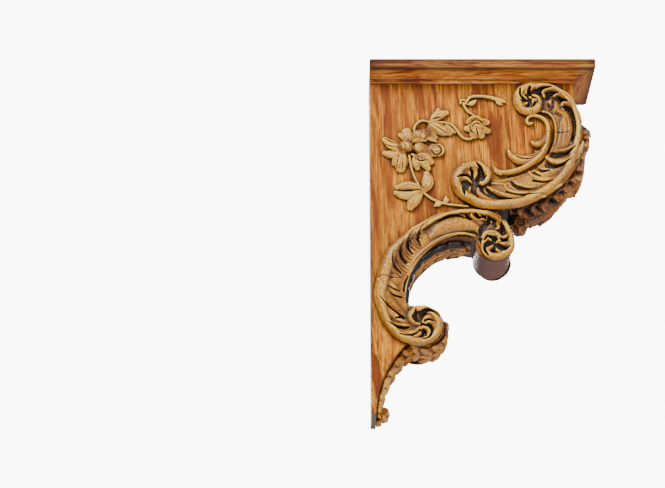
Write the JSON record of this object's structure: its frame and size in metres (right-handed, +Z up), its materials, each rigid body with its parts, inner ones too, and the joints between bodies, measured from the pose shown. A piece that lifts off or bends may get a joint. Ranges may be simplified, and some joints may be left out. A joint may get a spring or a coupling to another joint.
{
  "type": "carved corbel bracket",
  "caption": "Carved oak corbel bracket with cap moulding, acanthus C-scrolls, flower sprays and leaf ornament; fixes to a wall.",
  "frame": {"origin": "centre of the flat back face that is fixed to the wall", "axes": "+X out from the wall, +Y across the bracket, +Z up"},
  "size_m": [0.2225, 0.093, 0.358],
  "materials": {
    "body_oak": "golden oak with dark grain and a satin shellac finish, worn at the edges",
    "cap_oak": "redder oak moulding with dark edges and a satin shellac finish",
    "cast_ornament": "cast ornament composition toned tan and ochre like carved wood, dark wax in the hollows, worn highlights"
  },
  "bodies": {
    "root": {"oak_body": "body_oak", "cap_moulding_left": "cap_oak", "cap_moulding_front": "cap_oak", "cap_moulding_right": "cap_oak", "upper_scroll_left": "cast_ornament", "lower_scroll_left": "cast_ornament", "flower_spray_left": "cast_ornament", "upper_scroll_right": "cast_ornament", "lower_scroll_right": "cast_ornament", "flower_spray_right": "cast_ornament", "belly_leaf": "cast_ornament", "arch_leaf": "cast_ornament", "leg_leaf": "cast_ornament"}
  },
  "joints": []
}
